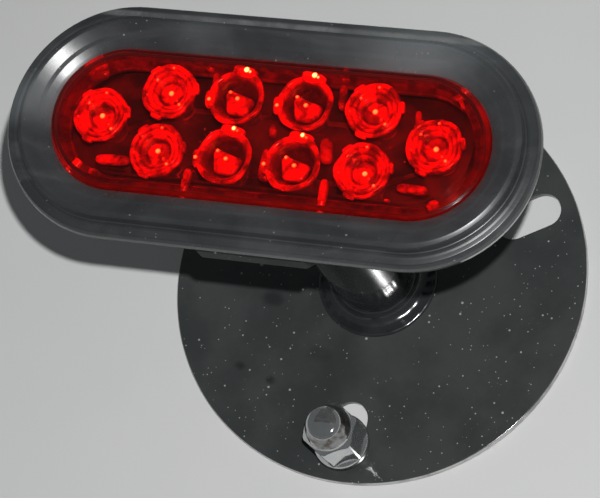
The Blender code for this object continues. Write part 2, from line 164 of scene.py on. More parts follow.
class Form:
    """A mesh in the making: lofts and boxes go in, and one smooth-shaded object comes out."""

    def __init__(self):
        self.bm = bmesh.new()
        self.glow = self.bm.verts.layers.float.new("glow")

    def bridge(self, first, second):
        """A band of faces between two closed rows of vertices."""
        for i in range(len(first)):
            j = (i + 1) % len(first)
            self.bm.faces.new((first[i], first[j], second[j], second[i]))

    def loft(self, rows, ring=False, glows=None):
        """Bands between neighbouring rows of points, closed by caps or, in a ring, by one more band."""
        made = []
        for k, row in enumerate(rows):
            verts = [self.bm.verts.new(point) for point in row]
            for i, vert in enumerate(verts):
                vert[self.glow] = glows[k][i] if glows else 0.0
            made.append(verts)
        pairs = list(zip(made, made[1:]))
        if ring:
            pairs.append((made[-1], made[0]))
        for first, second in pairs:
            self.bridge(first, second)
        if not ring:
            self.bm.faces.new(made[0])
            self.bm.faces.new(made[-1])
        return self

    def sweep(self, section, core=0.0, steps=FINE, ring=False, centre=(0.0, 0.0), wobble=None, light=None):
        """A (radius, z) section carried round an oval or a circle. A third number is the glow."""
        rows, glows = [], []
        for k, point in enumerate(section):
            row, shine = [], []
            for x, y in outline(core, point[0], steps):
                z = point[1]
                angle = math.atan2(y, x)
                if wobble:
                    push, lift = wobble(angle, k / (len(section) - 1))
                    x, y, z = x * (1 + push / point[0]), y * (1 + push / point[0]), z + lift
                row.append((centre[0] + x, centre[1] + y, z))
                glow = point[2] if len(point) > 2 else 0.0
                shine.append(light(angle, point[0], glow) if light else glow)
            rows.append(row)
            glows.append(shine)
        return self.loft(rows, ring, glows)

    def block(self, centre, size, turn=0.0, round_edge=0.3 * MM, segments=3, glow=0.0):
        """A box with rounded edges."""
        made = bmesh.ops.create_cube(self.bm, size=1.0)["verts"]
        place = Matrix.Translation(centre) @ Matrix.Rotation(turn, 4, "Z") @ Matrix.Diagonal((*size, 1.0))
        bmesh.ops.transform(self.bm, matrix=place, verts=made)
        edges = list({edge for vert in made for edge in vert.link_edges})
        bevelled = bmesh.ops.bevel(self.bm, geom=edges, offset=round_edge, segments=segments,
                                   affect="EDGES", profile=0.5)
        for vert in {*bevelled["verts"], *[v for v in made if v.is_valid]}:
            vert[self.glow] = glow
        return self

    def bead(self, x, y, z, radius, glow, steps=5):
        """A low round pip, brighter towards its middle."""
        dome = [(1.0, -0.6, 0.4), (0.9, 0.1, 0.6), (0.6, 0.45, 0.9), (0.3, 0.58, 1.0), (0.06, 0.6, 1.0)]
        section = [(radius * r, z + radius * h, glow * share) for r, h, share in dome]
        return self.sweep(section, steps=steps, centre=(x, y))

    def lump(self, centre, size, turn=0.0, glow=0.0, steps=6):
        """A low mound on a rounded plan, brighter towards its crest."""
        half_x, half_y = size[0] / 2, size[1] / 2
        rows, glows = [], []
        for inset, height, shine in ((0.0, -0.5, 0.2), (0.02, -0.1, 0.45), (0.12, 0.25, 0.75), (0.35, 0.45, 1.0),
                                     (0.8, 0.5, 1.1)):
            reach = inset * min(half_x, half_y)
            row = []
            for i in range(4 * steps):
                angle = math.pi * i / (2 * steps)
                c, s = math.cos(angle), math.sin(angle)
                px = math.copysign(abs(c) ** 0.6, c) * (half_x - reach)
                py = math.copysign(abs(s) ** 0.6, s) * (half_y - reach)
                row.append((centre[0] + px * math.cos(turn) - py * math.sin(turn),
                            centre[1] + px * math.sin(turn) + py * math.cos(turn), centre[2] + height * size[2]))
            rows.append(row)
            glows.append([glow * shine] * len(row))
        return self.loft(rows, glows=glows)

    def piece(self, name, head=False, sharp=40.0):
        bmesh.ops.recalc_face_normals(self.bm, faces=self.bm.faces)
        if head:
            bmesh.ops.translate(self.bm, verts=self.bm.verts, vec=(0.0, 0.0, HEAD_Z))
        mesh = bpy.data.meshes.new(name)
        self.bm.to_mesh(mesh)
        self.bm.free()
        mesh.shade_smooth()
        mesh.set_sharp_from_angle(angle=math.radians(sharp))
        return add(name, mesh)


def add(name, data):
    item = bpy.data.objects.new(name, data)
    bpy.context.scene.collection.objects.link(item)
    return item


def placed(node):
    """The low and high corners of a CAD node, and the middle of its plan."""
    low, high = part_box(node)
    return low, high, ((low.x + high.x) / 2, (low.y + high.y) / 2)


def dress(item, material, slot, *nodes, body="stand"):
    """Gives a piece its material, puts it on its body, and hides the CAD nodes it stands for. The slot is not used.
    """
    item.data.materials.clear()
    item.data.materials.append(material)
    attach(item, body)
    if nodes:
        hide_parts(*nodes)
    return item


def shape_with(target, tool, operation):
    """Applies one Boolean and removes the tool."""
    modifier = target.modifiers.new("shape", "BOOLEAN")
    modifier.operation = operation
    modifier.solver = "EXACT"
    modifier.object = tool
    graph = bpy.context.evaluated_depsgraph_get()
    mesh = bpy.data.meshes.new_from_object(target.evaluated_get(graph), depsgraph=graph)
    target.modifiers.remove(modifier)
    old = target.data
    target.data = mesh
    bpy.data.meshes.remove(old)
    bpy.data.objects.remove(tool, do_unlink=True)
    mesh.name = target.name


def soften(item, width, segments=3, angle=35.0):
    bevel = item.modifiers.new("edges", "BEVEL")
    bevel.width = width
    bevel.segments = segments
    bevel.limit_method = "ANGLE"
    bevel.angle_limit = math.radians(angle)
    bevel.harden_normals = True
    bevel.use_clamp_overlap = True
    item.data.shade_smooth()


# ---- materials


class Finish:
    """A Principled material with short calls for the nodes that pattern it, in object space."""

    def __init__(self, name, **sockets):
        self.material = bpy.data.materials.new(name)
        self.material.use_nodes = True
        self.tree = self.material.node_tree
        self.shader = self.tree.nodes["Principled BSDF"]
        for key, value in sockets.items():
            self.shader.inputs[key.replace("_", " ")].default_value = value
        self.place = self.node("ShaderNodeTexCoord").outputs["Object"]

    def node(self, kind, settings=None, **inputs):
        made = self.tree.nodes.new(kind)
        for key, value in (settings or {}).items():
            setattr(made, key, value)
        for key, value in inputs.items():
            self.feed(made.inputs[key.replace("_", " ")], value)
        return made

    def feed(self, socket, value):
        if isinstance(value, bpy.types.NodeSocket):
            self.tree.links.new(value, socket)
        else:
            socket.default_value = value

    def noise(self, scale, detail=4.0, roughness=0.55, distortion=0.0, place=None):
        return self.node("ShaderNodeTexNoise", Vector=place or self.place, Scale=scale, Detail=detail,
                         Roughness=roughness, Distortion=distortion).outputs["Fac"]

    def spots(self, scale, size, soft):
        """White dots scattered one to a cell, of varied size: 1 inside a dot and 0 outside."""
        cells = self.node("ShaderNodeTexVoronoi", {"feature": "F1"}, Vector=self.place, Scale=scale,
                          Randomness=1.0)
        chance = self.node("ShaderNodeSeparateColor", Color=cells.outputs["Color"]).outputs["Red"]
        reach = self.times(self.math("POWER", chance, 3.0), size)
        edge = self.math("SUBTRACT", reach, cells.outputs["Distance"])
        return self.span(edge, 0.0, soft)

    def math(self, operation, first, second=0.0):
        made = self.node("ShaderNodeMath", {"operation": operation})
        self.feed(made.inputs[0], first)
        self.feed(made.inputs[1], second)
        return made.outputs[0]

    def times(self, first, second):
        return self.math("MULTIPLY", first, second)

    def plus(self, first, second):
        return self.math("ADD", first, second)

    def span(self, value, low, high, to_low=0.0, to_high=1.0):
        """The value mapped from low..high to to_low..to_high, held at both ends."""
        made = self.node("ShaderNodeMapRange", {"interpolation_type": "SMOOTHSTEP"}, Value=value)
        for key, number in (("From Min", low), ("From Max", high), ("To Min", to_low), ("To Max", to_high)):
            self.feed(made.inputs[key], number)
        return made.outputs["Result"]

    def patchy(self, scale, detail, low=0.0, high=1.0):
        """Soft patches that run from low to high."""
        return self.span(self.noise(scale, detail), 0.3, 0.7, low, high)

    def blend(self, share, first, second):
        made = self.node("ShaderNodeMix", {"data_type": "RGBA"})
        self.feed(made.inputs[0], share)
        for socket, colour in ((made.inputs[6], first), (made.inputs[7], second)):
            self.feed(socket, colour if isinstance(colour, bpy.types.NodeSocket) else (*colour, 1.0))
        return made.outputs[2]

    def glow(self):
        return self.node("ShaderNodeAttribute", {"attribute_name": "glow"}).outputs["Fac"]

    def axis(self, name):
        return self.node("ShaderNodeSeparateXYZ", Vector=self.place).outputs[name]

    def vector(self, operation, first, second=(0.0, 0.0, 0.0)):
        made = self.node("ShaderNodeVectorMath", {"operation": operation})
        self.feed(made.inputs[0], first)
        self.feed(made.inputs[1], second)
        return made.outputs["Value" if operation == "LENGTH" else "Vector"]

    def drawn(self, *scale):
        """The place with each axis scaled by its own number, which stretches a pattern."""
        return self.vector("MULTIPLY", self.place, scale)

    def distance(self, centre, *scale):
        """How far a point is from a centre, with each axis scaled."""
        return self.vector("LENGTH", self.vector("MULTIPLY", self.vector("SUBTRACT", self.place, centre), scale))

    def stain(self, tone, colour, core, ragged, x, y, size, squash, share):
        """The tone with a soft patch of colour on it, at x, y and of a size in millimetres."""
        away = self.plus(self.distance((x * MM, y * MM, 0.0), 1.0, squash, 0.0), ragged)
        return self.blend(self.span(away, size * MM * core, size * MM * 1.5, share, 0.0), tone, colour)

    def bump(self, height, strength, distance, under=None):
        made = self.node("ShaderNodeBump", Height=height, Strength=strength, Distance=distance)
        if under:
            self.feed(made.inputs["Normal"], under)
        return made.outputs["Normal"]

    def use(self, tone, rough=None, normal=None, **links):
        for key, value in {"Base_Color": tone, "Roughness": rough, "Normal": normal, **links}.items():
            if value is not None:
                self.feed(self.shader.inputs[key.replace("_", " ")], value)
        return self.material


def powder_coat(name, dark_spots=(), tint=1.0, rough_low=0.12, shine=0.6):
    """Semi-gloss charcoal coat: fine orange peel, cloudy tone, pale dust, dark soft patches, a pale patchy rim."""
    finish = Finish(name, IOR=1.5, Specular_IOR_Level=shine)
    cloud = finish.noise(35.0, 5.0)
    dark, light = (0.032, 0.035, 0.035), (0.046, 0.05, 0.049)
    tone = finish.blend(finish.span(cloud, 0.35, 0.65), [c * tint for c in dark], [c * tint for c in light])
    for dark_spot in dark_spots:
        ragged = finish.times(finish.noise(180.0, 3.0), 0.004)
        tone = finish.stain(tone, (0.012, 0.012, 0.013), 0.7, ragged, *dark_spot)
    # A pale patchy band all round the rim
    out = finish.distance((0.0, 0.0, 0.0), 1.0, 1.0, 0.0)
    rim = finish.span(out, PLATE_RADIUS - 0.45 * MM, PLATE_RADIUS - 0.1 * MM)
    pale_rim_band = finish.times(rim, finish.span(finish.noise(60.0, 6.0, 0.7), 0.3, 0.55, 0.35, 1.0))
    tone = finish.blend(pale_rim_band, tone, (0.5, 0.5, 0.49))
    dust = finish.math("MAXIMUM", finish.spots(125.0, 0.13, 0.03), finish.spots(340.0, 0.2, 0.06))
    dust = finish.math("MAXIMUM", dust, finish.spots(620.0, 0.22, 0.09))
    # A pale cloudy haze over the coat
    haze_and_reflection = finish.times(finish.span(finish.noise(12.0, 6.0, 0.65), 0.45, 0.75), 0.1)
    tone = finish.blend(haze_and_reflection, tone, (0.11, 0.115, 0.11))
    tone = finish.blend(finish.times(dust, 0.7), tone, (0.36, 0.36, 0.34))
    rough = finish.patchy(60.0, 5.0, rough_low, rough_low + 0.08)
    rough = finish.plus(rough, finish.times(dust, 0.5))
    peel = finish.bump(finish.noise(1100.0, 2.0), 0.05, 0.0001)
    peel = finish.bump(dust, 0.3, 0.0001, peel)
    return finish.use(tone, rough, peel)


def gloss_paint(name, roughness=0.13):
    """Black gloss enamel: slow orange peel, cloudy tone and sheen, and a little dust."""
    finish = Finish(name, IOR=1.5, Coat_Weight=0.6, Coat_Roughness=0.06, Specular_IOR_Level=0.7)
    tone = finish.blend(finish.patchy(70.0, 4.0), (0.012, 0.013, 0.014), (0.022, 0.023, 0.025))
    dust = finish.spots(260.0, 0.13, 0.05)
    tone = finish.blend(finish.times(dust, 0.5), tone, (0.25, 0.25, 0.24))
    rough = finish.patchy(120.0, 5.0, roughness, roughness + 0.08)
    peel = finish.bump(finish.noise(300.0, 2.0), 0.04, 0.0002)
    return finish.use(tone, rough, peel)


def rubber():
    """Moulded black rubber: satin skin, grey bloom in clouds and flow lines, pale patches, a painted highlight
    along the upper groove, fine pitting, dust.
    """
    finish = Finish("black_rubber", IOR=1.5, Sheen_Weight=0.04, Sheen_Roughness=0.4)
    cloud = finish.noise(28.0, 6.0, 0.6, 0.6)
    tone = finish.blend(finish.span(cloud, 0.32, 0.68), (0.022, 0.024, 0.026), (0.037, 0.04, 0.042))
    streak = finish.noise(1.0, 5.0, 0.6, 0.8, finish.drawn(14.0, 60.0, 60.0))
    tone = finish.blend(finish.span(streak, 0.5, 0.72, 0.0, 0.35), tone, (0.08, 0.083, 0.085))
    for patch in PALE_PATCHES:
        ragged = finish.times(finish.noise(70.0, 4.0), 0.012)
        tone = finish.stain(tone, (0.125, 0.135, 0.14), 0.3, ragged, *patch)
    # Painted highlight: a pale patchy band along the groove on the upper side
    groove_sheen = finish.times(finish.span(finish.axis("Y"), *mm(37.2, 38.2)),
                        finish.span(finish.axis("Y"), *mm(39.4, 40.4), 1.0, 0.0))
    groove_sheen = finish.times(groove_sheen, finish.span(finish.noise(90.0, 4.0), 0.35, 0.65, 0.35, 0.9))
    tone = finish.blend(groove_sheen, tone, (0.125, 0.13, 0.13))
    dust = finish.math("MAXIMUM", finish.spots(190.0, 0.12, 0.03), finish.spots(520.0, 0.16, 0.06))
    tone = finish.blend(finish.times(dust, 0.6), tone, (0.3, 0.3, 0.29))
    rough = finish.patchy(45.0, 6.0, 0.22, 0.33)
    skin = finish.bump(finish.noise(2600.0, 3.0), 0.1, 0.0001)
    skin = finish.bump(finish.noise(160.0, 3.0), 0.06, 0.0003, skin)
    return finish.use(tone, rough, skin)


def red_lens():
    """Clear red acrylic, faintly hazed and finely scratched."""
    finish = Finish("red_lens", IOR=1.45, Transmission_Weight=1.0)
    haze = finish.span(finish.noise(60.0, 5.0), 0.35, 0.75)
    tint = finish.blend(haze, (0.8, 0.034, 0.022), (0.74, 0.028, 0.018))
    lines = finish.span(finish.noise(1.0, 3.0, 0.6, 1.5, finish.drawn(60.0, 900.0, 900.0)), 0.68, 0.78)
    rough = finish.span(finish.noise(130.0, 4.0), 0.4, 0.8, 0.012, 0.035)
    ripple = finish.bump(lines, 0.03, 0.00005)
    along = finish.math("SUBTRACT", finish.math("ABSOLUTE", finish.axis("X")), OVAL_CORE)
    along = finish.math("MAXIMUM", along, 0.0)
    out = finish.math("SQRT", finish.plus(finish.math("POWER", along, 2.0),
                                          finish.math("POWER", finish.math("ABSOLUTE", finish.axis("Y")), 2.0)))
    edge = finish.span(out, *mm(23.4, 25.2), 0.0, 0.036)  # light caught in the edge
    return finish.use(tint, rough, ripple, Emission_Color=(1.0, 0.02, 0.01, 1.0),
                      Emission_Strength=finish.times(edge, finish.span(haze, 0.0, 1.0, 0.7, 1.2)))


def optic_red():
    """Moulded red optic: the glow held in the mesh runs from dark hollow through red to a pale painted glint."""
    finish = Finish("optic_red", IOR=1.49, Coat_Weight=0.5, Coat_Roughness=0.08, Roughness=0.2)
    glow = finish.glow()
    coarse = finish.span(finish.noise(210.0, 2.0, 0.5, 0.5), 0.34, 0.66, 0.34, 1.32)
    fine = finish.span(finish.noise(700.0, 2.0, 0.5), 0.3, 0.7, 0.86, 1.1)
    level = finish.times(glow, finish.times(coarse, fine))
    # Painted glint: the highest glow turns pale orange and far brighter
    painted_glint = finish.math("POWER", finish.span(glow, 1.3, 3.0), 1.6)
    strength = finish.plus(finish.times(level, 0.95), finish.times(painted_glint, 13.0))
    body = finish.blend(finish.span(level, 0.0, 1.0), (0.03, 0.001, 0.001), (0.3, 0.004, 0.003))
    colour = finish.blend(finish.span(glow, 1.2, 2.6), (1.0, 0.01, 0.006), (1.0, 0.8, 0.26))
    ripple = finish.bump(finish.noise(700.0, 3.0), 0.25, 0.0003)
    material = finish.use(body, normal=ripple, Emission_Color=colour, Emission_Strength=strength)
    material.cycles.emission_sampling = "NONE"
    return material


def led_body():
    """Pale LED package with a warm lit die under a clear dome."""
    finish = Finish("led_body", IOR=1.5, Coat_Weight=0.5, Coat_Roughness=0.05)
    glow = finish.glow()
    grain = finish.patchy(1800.0, 3.0)
    body = finish.blend(grain, (0.46, 0.43, 0.38), (0.6, 0.57, 0.5))
    rough = finish.patchy(900.0, 3.0, 0.25, 0.4)
    return finish.use(body, rough, Emission_Color=(1.0, 0.1, 0.03, 1.0),
                      Emission_Strength=finish.times(glow, 1.2))


def moulded_plastic(name, dark, light, rough_low=0.38, rough_high=0.52):
    """Injection-moulded black plastic: spark-eroded grain, flow clouds and pale rub marks."""
    finish = Finish(name, IOR=1.49)
    tone = finish.blend(finish.patchy(60.0, 5.0), dark, light)
    rub = finish.span(finish.noise(240.0, 6.0, 0.7, 0.4), 0.62, 0.78, 0.0, 0.25)
    tone = finish.blend(rub, tone, (0.1, 0.1, 0.1))
    rough = finish.patchy(90.0, 4.0, rough_low, rough_high)
    grain = finish.bump(finish.noise(3200.0, 3.0), 0.25, 0.00012)
    return finish.use(tone, rough, grain)


def solder_mask():
    """Dark solder mask over a faint woven glass pattern, with a painted red cast of the lens's light."""
    finish = Finish("solder_mask", IOR=1.5, Coat_Weight=0.3, Coat_Roughness=0.2)
    weave = finish.node("ShaderNodeTexWave", {"wave_type": "BANDS", "bands_direction": "DIAGONAL"},
                        Vector=finish.place, Scale=900.0, Distortion=1.5).outputs["Fac"]
    cloud = finish.span(finish.noise(75.0, 5.0, 0.6, 0.6), 0.36, 0.64)
    # The red cast in these tones is painted light from the lens
    tone = finish.blend(cloud, (0.016, 0.008, 0.007), (0.08, 0.019, 0.015))
    tone = finish.blend(finish.times(weave, 0.2), tone, (0.07, 0.05, 0.04))
    rough = finish.patchy(300.0, 3.0, 0.3, 0.45)
    skin = finish.bump(weave, 0.12, 0.00008)
    return finish.use(tone, rough, skin)


def metal(name, dark, light, rough_low, rough_high, grain=1200.0, depth=0.06, draw=1.0, pure=1.0, haze_and_reflection=()):
    """Bare or plated metal: drawn grain, cloudy tarnish, wear on the highs, and bands of brownish painted
    reflection.
    """
    finish = Finish(name, Metallic=pure)
    lines = finish.noise(grain, 4.0, 0.6, 0.0, finish.drawn(1.0, 1.0, draw))
    cloud = finish.span(finish.noise(170.0, 5.0, 0.6), 0.3, 0.7)
    tone = finish.blend(cloud, dark, light)
    # Each band darkens the tone brownish: a painted reflection
    for bottom, top, share in haze_and_reflection:
        height = finish.plus(finish.axis("Z"), finish.times(finish.noise(420.0, 3.0), 1.2 * MM))
        band = finish.times(finish.span(height, bottom, bottom + 0.8 * MM),
                            finish.span(height, top, top + 0.8 * MM, 1.0, 0.0))
        blot = finish.span(finish.noise(230.0, 3.0, 0.6, 1.0), 0.35, 0.65, 0.5, 1.0)
        tone = finish.blend(finish.times(band, finish.times(blot, share)), tone, (0.09, 0.075, 0.062))
    wear = finish.plus(finish.times(cloud, 0.5), finish.times(lines, 0.5))
    rough = finish.span(wear, 0.3, 0.7, rough_low, rough_high)
    return finish.use(tone, rough, finish.bump(lines, depth, 0.0001))


# ---- stand pieces

SLOT_INNER_CIRCLE = 57.15 * MM
SLOT_OUTER_CIRCLE = 69.85 * MM
SLOT_WIDTH = 13.5 * MM
SLOT_ANGLES = (-90.0, 30.0, 150.0)
WIRE_HOLE_RADIUS = 11.0 * MM


def slot_outline(angle, half_width, steps=20):
    """A slot's outline in place. Its end circles sit on the inner and outer bolt circles."""
    middle = (SLOT_INNER_CIRCLE + SLOT_OUTER_CIRCLE) / 2
    travel = (SLOT_OUTER_CIRCLE - SLOT_INNER_CIRCLE) / 2
    turn = Matrix.Rotation(angle, 2)
    shift = Vector((middle * math.cos(angle), middle * math.sin(angle)))
    return [tuple(turn @ Vector(point) + shift) for point in outline(travel, half_width, steps)]


def plate(coat):
    """Laser-cut disc: every edge, outside and in the openings, has a small painted round."""
    form = Form()
    rings = [lambda inset: outline(0.0, PLATE_RADIUS - inset, 3 * ROUND)]
    for degrees in SLOT_ANGLES:
        rings.append(lambda inset, a=math.radians(degrees): slot_outline(a, SLOT_WIDTH / 2 + inset))
    rings.append(lambda inset: outline(0.0, WIRE_HOLE_RADIUS + inset, ROUND))
    fills = {0.0: [], PLATE_TOP: []}
    for number, ring in enumerate(rings):
        soft = 0.7 * MM if number == 0 else 0.45 * MM
        steps = 5
        rows = []
        for face, sign in ((0.0, 1.0), (PLATE_TOP, -1.0)):
            arc = []
            for k in range(steps + 1):
                angle = math.pi / 2 * k / steps
                inset = soft * (1 - math.sin(angle))
                height = face + sign * soft * (1 - math.cos(angle))
                arc.append([(x, y, height) for x, y in ring(inset)])
            rows += arc if sign > 0 else arc[::-1]
        made = [[form.bm.verts.new(point) for point in row] for row in rows]
        for first, second in zip(made, made[1:]):
            form.bridge(first, second)
        for face, row in ((0.0, made[0]), (PLATE_TOP, made[-1])):
            loop = [form.bm.edges.get((row[i], row[(i + 1) % len(row)])) for i in range(len(row))]
            fills[face] += loop
    for edges in fills.values():
        bmesh.ops.triangle_fill(form.bm, edges=edges, use_beauty=True, use_dissolve=False)
    item = form.piece("plate")
    weighted = item.modifiers.new("flat_faces", "WEIGHTED_NORMAL")
    weighted.keep_sharp = True
    weighted.weight = 100
    return dress(item, coat, "powder_coat", "mounting_plate")


def tube(paint):
    wall = 2.4 * MM
    section = fillet([(TUBE_RADIUS, TUBE_LOW), (TUBE_RADIUS, TUBE_HIGH), (TUBE_RADIUS - wall, TUBE_HIGH),
                      (TUBE_RADIUS - wall, TUBE_LOW)], 0.4 * MM, closed=True)
    item = Form().sweep(section, ring=True).piece("tube")
    return dress(item, paint, "gloss_paint", "standoff_tube")


def weld_bead(node, paint, radius, height, up, ripples, hollow):
    """A hollow fillet bead laid in overlapping puddles, ending in a thin rounded toe."""
    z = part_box(node)[0].z if up > 0 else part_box(node)[1].z
    root = TUBE_RADIUS + 0.08 * MM
    toe = 0.9 * MM
    width, rise = radius - toe - root, height - toe
    section = [(root - 0.6 * MM, z), (radius, z)]
    for k in range(1, 6):
        angle = math.pi / 2 * k / 5
        section.append((radius - toe * (1 - math.cos(angle)), z + up * toe * math.sin(angle)))
    steps = 18
    for k in range(1, steps + 1):
        share = k / steps
        section.append((radius - toe - width * share, z + up * (toe + rise * share ** hollow)))
    section.append((root - 0.6 * MM, z + up * height))

    def wobble(angle, share):
        inside = max(0.0, math.sin(math.pi * min(1.0, share * 1.3)))
        puddle = (angle * ripples / (2 * math.pi) + 0.8 * share + 0.25 * math.sin(3 * angle)) % 1.0
        crest = 0.5 - 0.5 * math.cos(2 * math.pi * puddle)
        uneven = uneven_round(angle, 2.1, 3.7 + z)
        push = inside * (0.1 * crest + 0.5 * uneven - 0.2) * MM
        return push, up * inside * (0.08 * crest + 0.3 * uneven - 0.1) * MM

    item = Form().sweep(section, steps=180, ring=True, wobble=wobble).piece(f"{node}_bead", sharp=75.0)
    return dress(item, paint, "gloss_paint", node)


def offset_path(path, distance):
    """The open path moved sideways by the distance, with mitred corners."""
    result = []
    for i, point in enumerate(path):
        here = Vector(point)
        ways = []
        if i > 0:
            ways.append((here - Vector(path[i - 1])).normalized())
        if i < len(path) - 1:
            ways.append((Vector(path[i + 1]) - here).normalized())
        sides = [Vector((-way.y, way.x)) for way in ways]
        mean = sum(sides, Vector((0.0, 0.0))).normalized()
        result.append(tuple(here + mean * distance / mean.dot(sides[0])))
    return result


def strap(coat):
    """Bent steel strap from the panel's back round to the tube, with a wiring hole."""
    low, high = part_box("lamp_strap")
    steel = 3.2 * MM
    leg, top, back = high.y, high.z - HEAD_Z, low.z - HEAD_Z
    bend_z, back_out = mm(-15.0, 24.0)
    out = [(leg, top), (leg, bend_z), (back_out, back), (-back_out, back), (-leg, bend_z), (-leg, top)]
    inner = offset_path(out, -steel)
    bar = fillet(out, 4.0 * MM + steel, 8) + fillet(inner, 4.0 * MM, 8)[::-1]
    rows = [[(x, y, z) for y, z in bar] for x in (low.x, high.x)]
    item = Form().loft(rows).piece("strap", head=True)
    wire_hole = 10.0 * MM
    hole = Form().sweep([(wire_hole, back - steel), (wire_hole, back + 2 * steel)], steps=ROUND)
    shape_with(item, hole.piece("strap_hole", head=True), "DIFFERENCE")
    soften(item, 0.55 * MM)
    return dress(item, coat, "powder_coat", "lamp_strap")


def panel(coat):
    front, back = mm(-3.9, -7.1)
    hole, edge = 35.0 * MM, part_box("lamp_panel")[1].y
    section = fillet([(hole, back), (edge, back), (edge, front), (hole, front)], 0.6 * MM, closed=True)
    item = Form().sweep(section, OVAL_CORE, ring=True).piece("panel", head=True)
    return dress(item, coat, "powder_coat", "lamp_panel")


def grommet(skin):
    """Rubber ring: lip over the lens, inclined face, ridge, groove, step, outer edge and rear bead."""
    section = profile([
        (26.2, -0.6, 0.1), (26.2, 0.2, 0.3), (27.3, 0.9, 0.8), (29.6, 2.15, 0.9), (31.0, 2.6, 1.2),
        (34.7, 4.55, 1.2), (35.5, 4.75, 0.4), (36.9, 4.05, 0.3), (37.15, 2.6, 0.4), (37.4, 0.9, 0.4),
        (37.9, 0.75, 0.4), (38.5, 1.15, 0.6), (39.3, 1.3, 0.6), (40.1, 1.05, 1.0), (41.7, 0.75, 0.8),
        (42.5, -1.0, 0.9), (42.8, -3.1, 0.4), (42.4, -3.6, 0.3), (34.7, -3.6, 0.2), (34.7, -7.4, 0.2),
        (37.0, -7.4, 0.4), (36.6, -8.8, 0.8), (33.0, -11.4, 1.2), (27.5, -11.4, 0.4), (27.5, -6.9, 0.2),
        (29.7, -6.9, 0.2), (29.7, -0.6, 0.2),
    ], 0.5, 5, closed=True)
    item = Form().sweep(section, OVAL_CORE, ring=True).piece("rubber_grommet", head=True, sharp=60.0)
    return dress(item, skin, "rubber", "grommet")


# ---- lamp pieces


def lens(red):
    """Red cap: flange under the grommet's lip, rounded shoulder, crowned front, skirt into the tray."""
    outside = profile([
        (29.4, -3.4), (29.4, -0.9, 0.3), (26.05, -0.9, 0.2), (25.9, 1.0, 2.0), (24.9, 2.8, 1.6),
        (24.0, 3.45, 1.0), (22.3, 4.25, 1.5), (20.2, 4.85, 5.0), (14.0, 5.2, 8.0), (6.0, 5.3, 4.0),
        (0.4, LENS_CROWN / MM),
    ], 0.6, 5)
    inside = profile([
        (0.4, 3.9), (12.0, 3.8, 4.0), (20.4, 3.4, 1.0), (22.6, 2.2, 1.0), (23.7, 0.6, 0.8),
        (24.0, -7.0, 0.2), (24.7, -7.0, 0.2), (24.9, -3.4, 0.2), (29.4, -3.4),
    ], 0.4, 3)[:-1]
    form = Form()
    rows = [[form.bm.verts.new((x, y, z)) for x, y in outline(OVAL_CORE, r, FINE)] for r, z in outside + inside]
    top = len(outside) - 1
    for k, (first, second) in enumerate(zip(rows, rows[1:] + rows[:1])):
        if k != top:
            form.bridge(first, second)
    form.bm.faces.new(rows[top])
    form.bm.faces.new(rows[top + 1])
    item = form.piece("lens", head=True)
    item.visible_shadow = False  # the optics stay lit
    return dress(item, red, "red_lens", "lamp_lens")


def housing(plastic):
    """Moulded tray with a rim for the lens, ribs round the plug socket, and the socket itself."""
    rim, floor_in, floor_out = mm(-3.7, -18.0, -20.0)
    outer, inner, flange, step, soft = mm(27.2, 25.0, 29.4, -6.6, 0.3)
    tray = fillet([(8.0 * MM, floor_out), (outer, floor_out, 1.6 * MM), (outer, step, soft), (flange, step, soft),
                   (flange, rim, soft), (inner, rim), (inner, floor_in, MM), (8.0 * MM, floor_in)], 0.4 * MM)
    item = Form().sweep(tray, OVAL_CORE).piece("housing_tray", head=True)
    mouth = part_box("lamp_housing")[0].z - HEAD_Z
    core, bore, wall = mm(10.0, 6.5, 2.2)
    boss = Form().sweep([(bore + wall + 0.3 * MM, floor_out + 1.0 * MM), (bore + wall + 0.2 * MM, mouth + 0.6 * MM),
                         (bore + wall - 0.3 * MM, mouth)], core, SMALL)
    shape_with(item, boss.piece("socket_boss", head=True), "UNION")
    for side in (-1, 1):
        for k in (1, 2):
            rib = Form().block((side * (17.0 * MM + k * 14.0 * MM), 0.0, floor_out - 0.4 * MM),
                               mm(1.6, 40.0, 2.4))
            shape_with(item, rib.piece("rib", head=True), "UNION")
    recess = Form().sweep([(bore, mouth - 2.0 * MM), (bore, floor_out)], core, SMALL)
    shape_with(item, recess.piece("socket_recess", head=True), "DIFFERENCE")
    for side in (-1, 0, 1):
        centre = (side * 9.5 * MM, 0.0)
        hole = Form().sweep([(1.9 * MM, floor_out - MM), (1.9 * MM, floor_in + MM)], 0.0, SMALL, centre=centre)
        shape_with(item, hole.piece("pin_hole", head=True), "DIFFERENCE")
    soften(item, 0.25 * MM, 2)
    return dress(item, plastic, "housing", "lamp_housing")


